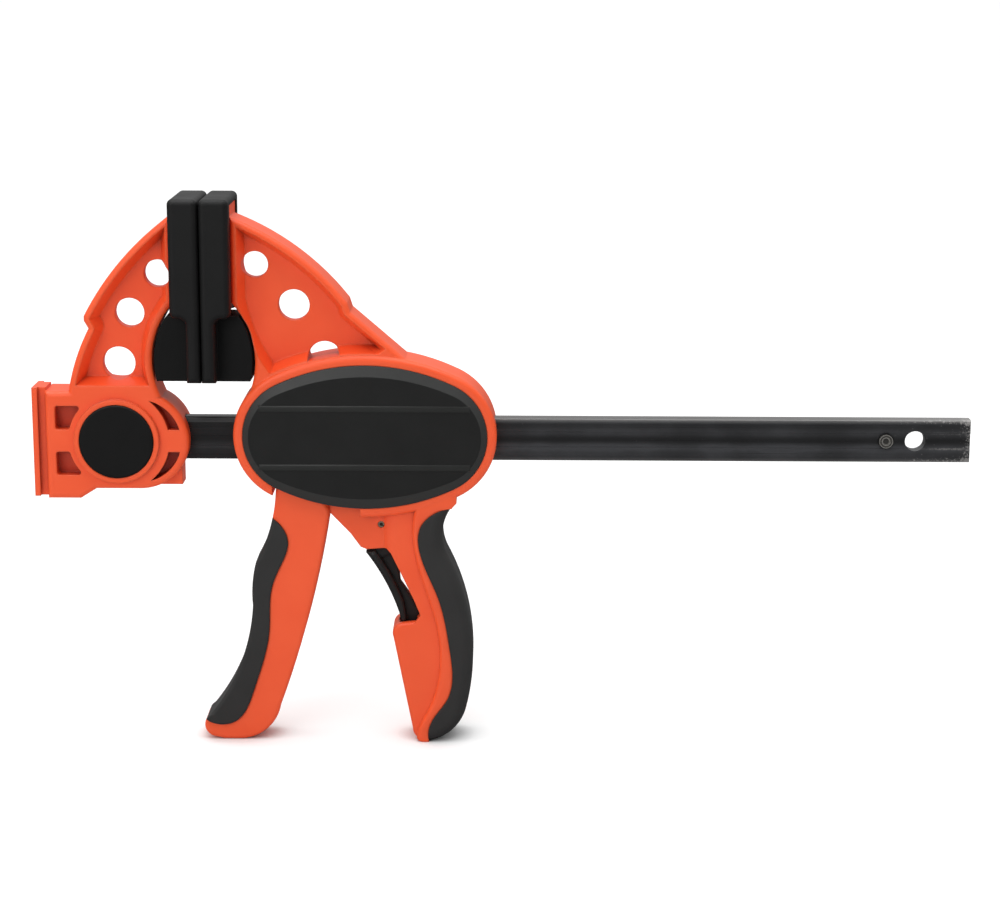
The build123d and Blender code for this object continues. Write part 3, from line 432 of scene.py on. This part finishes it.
# A lighter black than the cover's, as a painted highlight on the ribs
rib_black_highlit = moulding(
    "rib_black_highlit", colour=(0.021, 0.022, 0.021), deep=(0.017, 0.018, 0.017), worn=(0.05, 0.05, 0.048),
    roughness=0.40, grain_size=0.30, bump=0.3, rub=0.3, specular=0.4, soft_edge=0.3 * MM,
)
button_black = moulding(
    "button_black", colour=(0.0048, 0.0048, 0.0049), deep=(0.0038, 0.0038, 0.0039), worn=(0.04, 0.04, 0.04),
    roughness=0.48, grain_size=0.30, bump=0.6, rub=0.3, specular=0.28,
)
grip_black = moulding(
    "grip_rubber", colour=(0.030, 0.0294, 0.0290), deep=(0.024, 0.0236, 0.0234), worn=(0.06, 0.06, 0.06),
    roughness=0.56, grain_size=0.22, bump=0.5, rub=0.2, specular=0.4, soft_edge=1.2 * MM,
)
trigger_black = moulding(
    "trigger_black", colour=(0.018, 0.0178, 0.0178), deep=(0.014, 0.014, 0.014), worn=(0.04, 0.04, 0.04),
    roughness=0.42, grain_size=0.30, bump=0.4, rub=0.15, specular=0.4, soft_edge=1.8 * MM,
)
bar_steel = bar_finish()
# The stop pin's cut face is rough all over, so its marks aren't drawn out along the bar
stop_steel = steel(
    "stop_pin_steel", colour=(0.085, 0.082, 0.076), worn=(0.60, 0.58, 0.54),
    roughness=0.42, metallic=0.8, rub=2.4, bump=3.0, lengthwise=900.0,
)
pin_steel = steel(
    "pin_steel", colour=(0.32, 0.31, 0.29), worn=(0.55, 0.54, 0.52), roughness=0.34, metallic=1.0, rub=0.6, bump=0.3
)
rolled_pin_steel = steel(
    "rolled_pin_steel", colour=(0.42, 0.35, 0.26), worn=(0.75, 0.68, 0.55),
    roughness=0.40, metallic=0.9, rub=0.8, bump=0.4,
)
spring_steel = steel(
    "spring_wire", colour=(0.45, 0.45, 0.46), worn=(0.6, 0.6, 0.6), roughness=0.28, metallic=1.0, rub=0.2, bump=0.2
)

slot_finishes = {
    "orange_moulding": orange,
    "black_pad": pad_black,
    "black_cover": cover_black,
    "grip_rubber": grip_black,
    "trigger_black": trigger_black,
    "blackened_steel": bar_steel,
    "pin_steel": pin_steel,
    "spring_steel": spring_steel,
}
node_finishes = {"bar_stop_pin": stop_steel, "jaw_release_button": button_black}
for subpart in frame["record"]["subparts"]:
    node = subpart["node"]
    materials = nodes[node].data.materials
    materials.clear()
    materials.append(node_finishes.get(node, slot_finishes[subpart["material_slot"]]))

# ---------------------------------------------------------------- pieces on the solids


def finish_piece(name, shape, body, material, smooth=True):
    """Make the bmesh an object at the origin that rides on a body and wears the finish it is given."""
    bmesh.ops.remove_doubles(shape, verts=shape.verts, dist=1e-6)
    bmesh.ops.recalc_face_normals(shape, faces=shape.faces)
    mesh = bpy.data.meshes.new(name)
    for face in shape.faces:
        face.smooth = smooth
    shape.to_mesh(mesh)
    shape.free()
    piece = bpy.data.objects.new(name, mesh)
    bpy.context.collection.objects.link(piece)
    mesh.materials.append(material)
    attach(piece, body)
    return piece


def box_corners(node):
    return (Vector(corner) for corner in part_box(node))


def rolled_pin(name, node):
    """A slotted spring pin: a rolled strip of spring steel, a little shorter than the hole it fills."""
    low, high = box_corners(node)
    centre = (low + high) / 2
    half = (high.y - low.y) / 2 - PIN_INSET
    chamfer = 0.25 * (PIN_OUTER - PIN_INNER)
    section = (
        (PIN_INNER, -half), (PIN_OUTER - chamfer, -half), (PIN_OUTER, -half + chamfer),
        (PIN_OUTER, half - chamfer), (PIN_OUTER - chamfer, half), (PIN_INNER, half),
    )
    shape = bmesh.new()
    corners = [shape.verts.new((centre.x + across, centre.y + along, centre.z)) for across, along in section]
    strip = shape.faces.new(corners)
    start = Matrix.Rotation(radians(PIN_SLIT_TURN + PIN_SLIT / 2), 3, "Y")
    bmesh.ops.rotate(shape, verts=shape.verts, cent=centre, matrix=start)
    bmesh.ops.spin(
        shape, geom=[strip, *strip.edges, *strip.verts], cent=centre, axis=(0, 1, 0),
        angle=radians(360 - PIN_SLIT), steps=30, use_duplicate=False,
    )
    bmesh.ops.holes_fill(shape, edges=shape.edges, sides=0)
    piece = finish_piece(name, shape, "body", rolled_pin_steel, smooth=False)
    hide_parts(node)


def cover_rib(name, node, side, offset):
    """A low rounded rib moulded across a cover, which fills and crowns its groove."""
    low, high = box_corners(node)
    face_y = low.y if side < 0 else high.y
    shape = bmesh.new()
    bmesh.ops.create_cube(shape, size=1.0)
    bmesh.ops.scale(shape, verts=shape.verts, vec=RIB_SIZE)
    outer = [edge for edge in shape.edges if all(side * vert.co.y > 0 for vert in edge.verts)]
    bmesh.ops.bevel(
        shape, geom=outer, offset=RIB_ROUND, offset_type="OFFSET", segments=4, profile=0.5, affect="EDGES",
        clamp_overlap=True, material=-1,
    )
    middle = ((low.x + high.x) / 2, face_y - side * RIB_SINK, (low.z + high.z) / 2 + offset)
    bmesh.ops.translate(shape, verts=shape.verts, vec=middle)
    finish_piece(name, shape, "body", rib_black_highlit)


def circle_centre(first, second, third):
    """The centre of the circle through three points."""
    ahead, back = second - first, third - first
    normal = ahead.cross(back)
    toward = back.length_squared * normal.cross(ahead) + ahead.length_squared * back.cross(normal)
    return first + toward / (2 * normal.length_squared)


def finger_band(name):
    """The thick rounded back of the trigger's finger blade, swept along the arc of the blade's front."""
    low, high = box_corners("trigger_pin")
    hinge = (low + high) / 2
    first, second, third = (hinge + Vector((x, 0, z)) * MM for x, z in BLADE_FRONT)
    hub = circle_centre(first, second, third)
    outward = (first - hub).normalized()
    shape = bmesh.new()
    section = [
        shape.verts.new(first + outward * depth + Vector((0, across, 0)))
        for depth, across in (
            (BAND_FRONT, -BAND_HALF_WIDTH), (BAND_FRONT, BAND_HALF_WIDTH),
            (BAND_BACK, BAND_HALF_WIDTH), (BAND_BACK, -BAND_HALF_WIDTH),
        )
    ]
    shape.faces.new(section)
    bmesh.ops.bevel(
        shape, geom=section[2:], offset=BAND_ROUND, offset_type="OFFSET", segments=6, profile=0.5,
        affect="VERTICES", clamp_overlap=True, material=-1,
    )
    turn = (first - hub).angle(third - hub)
    if (first - hub).cross(third - hub).y < 0:
        turn = -turn
    bmesh.ops.rotate(shape, verts=shape.verts, cent=hub, matrix=Matrix.Rotation(BAND_START * turn, 3, "Y"))
    bmesh.ops.spin(
        shape, geom=[*shape.faces, *shape.edges, *shape.verts], cent=hub, axis=(0, 1, 0), angle=BAND_RUN * turn,
        steps=24, use_duplicate=False,
    )
    bmesh.ops.holes_fill(shape, edges=shape.edges, sides=0)
    # The foot thins where it runs down behind the handle
    reach = (first - hub).length
    for vert in shape.verts:
        spoke = Vector((vert.co.x - hub.x, 0, vert.co.z - hub.z))
        thinned = min(1.0, max(0.0, (hinge.z - FOOT_DROP - vert.co.z) / FOOT_LENGTH))
        spoke = spoke.normalized() * (reach - (reach - spoke.length) * (1 - FOOT_THINNING * thinned))
        vert.co = (hub.x + spoke.x, vert.co.y, hub.z + spoke.z)
    finish_piece(name, shape, "trigger", trigger_black)


def coil_spring(name, node, body, axis):
    """A copy of a spring's solid as a piece that rides on a body, while the solid itself is hidden."""
    axis = Vector(axis)
    solid = nodes[node]
    shape = bmesh.new()
    shape.from_mesh(solid.data)
    bmesh.ops.transform(shape, verts=shape.verts, matrix=solid.matrix_world)
    piece = finish_piece(name, shape, body, spring_steel)
    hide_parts(node)
    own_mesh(piece)


rolled_pin("trigger_spring_pin", "trigger_pin")
for label, cover, side in (("front", "front_cover", -1), ("rear", "rear_cover", 1)):
    cover_rib(f"{label}_upper_rib", cover, side, RIB_OFFSET)
    cover_rib(f"{label}_lower_rib", cover, side, -RIB_OFFSET)
finger_band("trigger_finger_band")
coil_spring("drive_coil", "drive_spring", "body", (1, 0, 0))
coil_spring("brake_coil", "brake_spring", "body", (1, 0, 0))
coil_spring("button_coil", "button_spring", "bar_and_fixed_jaw", (0, 1, 0))

# ---------------------------------------------------------------- floor, lamps and camera


def paper_floor():
    """White paper that keeps the object's shadow. Its glow, for the camera only, fades close to the feet as a
    painted contact shadow.
    """
    mesh = bpy.data.meshes.new("floor")
    shape = bmesh.new()
    bmesh.ops.create_grid(shape, x_segments=1, y_segments=1, size=FLOOR_HALF_WIDTH)
    shape.to_mesh(mesh)
    shape.free()
    floor = bpy.data.objects.new("floor", mesh)
    bpy.context.collection.objects.link(floor)
    material, tree, shader = new_material("floor_paper")
    shader.inputs["Roughness"].default_value = 0.9
    shader.inputs["Specular IOR Level"].default_value = 0.1
    rays = tree.nodes.new("ShaderNodeLightPath")
    paper = mix_colour(tree, rays.outputs["Is Glossy Ray"], grey(PAPER), grey(PAPER_IN_GLOSS))
    tree.links.new(paper, shader.inputs["Base Color"])
    # Painted contact shadow: the glow is taken away where the feet crowd the sky out
    open_sky = add_node(tree, "ShaderNodeAmbientOcclusion", {"samples": 8}, Distance=CONTACT_SHADOW_REACH)
    clear = smooth_step(tree, open_sky.outputs["AO"], 0.45, 0.95)
    distance = add_node(tree, "ShaderNodeVectorMath", {"operation": "LENGTH"}, Vector=object_place(tree))
    level = smooth_step(tree, distance.outputs["Value"], GLOW_START, GLOW_FULL, FLOOR_GLOW_NEAR, FLOOR_GLOW_FAR)
    seen = calculate(tree, "MULTIPLY", rays.outputs["Is Camera Ray"], clear)
    glow = add_node(tree, "ShaderNodeEmission", Color=grey(1), Strength=calculate(tree, "MULTIPLY", seen, level))
    both = tree.nodes.new("ShaderNodeAddShader")
    feed(tree, both.inputs[0], shader.outputs["BSDF"])
    feed(tree, both.inputs[1], glow.outputs["Emission"])
    tree.links.new(both.outputs["Shader"], tree.nodes["Material Output"].inputs["Surface"])
    mesh.materials.append(material)


def studio_sky():
    """The studio round the object: white to the camera, bright overhead and behind, dim in front and low down."""
    world = bpy.data.worlds.new("studio")
    bpy.context.scene.world = world
    world.use_nodes = True
    tree = world.node_tree
    toward = tree.nodes.new("ShaderNodeTexCoord").outputs["Generated"]
    split = add_node(tree, "ShaderNodeSeparateXYZ", Vector=toward)
    by_height = smooth_step(tree, split.outputs["Z"], -0.1, 0.9, SKY_LOW, SKY_HIGH)
    by_depth = smooth_step(tree, split.outputs["Y"], -1.0, 0.3, SKY_FRONT, 1.0)
    lit = calculate(tree, "MULTIPLY", by_height, by_depth)
    rays = tree.nodes.new("ShaderNodeLightPath")
    background = tree.nodes["Background"]
    feed(tree, background.inputs["Strength"], calculate(tree, "MAXIMUM", rays.outputs["Is Camera Ray"], lit))
    background.inputs["Color"].default_value = grey(1)


def soft_box(name, place, target, width, height, power):
    lamp = bpy.data.lights.new(name, "AREA")
    lamp.shape = "RECTANGLE"
    lamp.size = width
    lamp.size_y = height
    lamp.energy = power
    holder = bpy.data.objects.new(name, lamp)
    aim = (Vector(target) - Vector(place)).to_track_quat("-Z", "Y")
    holder.matrix_world = Matrix.Translation(place) @ aim.to_matrix().to_4x4()
    bpy.context.collection.objects.link(holder)


def place_camera():
    optics = bpy.data.cameras.new("camera")
    optics.lens = CAMERA_LENS
    optics.sensor_width = CAMERA_SENSOR
    optics.clip_end = CAMERA_REACH
    camera = bpy.data.objects.new("camera", optics)
    camera.matrix_world = (
        Matrix.Translation(CAMERA_PLACE)
        @ Matrix.Rotation(radians(90 - CAMERA_DOWN), 4, "X")
        @ Matrix.Rotation(radians(CAMERA_ROLL), 4, "Z")
    )
    bpy.context.collection.objects.link(camera)
    bpy.context.scene.camera = camera


paper_floor()
studio_sky()
soft_box("top_box", place=(-0.1, -0.25, 1.5), target=(0, 0, 0.1), width=1.6, height=1.2, power=14.0)
soft_box("front_box", place=(-0.9, -1.5, 0.9), target=(0, 0, 0.12), width=1.0, height=1.0, power=9.0)
place_camera()
bpy.context.scene.view_settings.view_transform = "Standard"
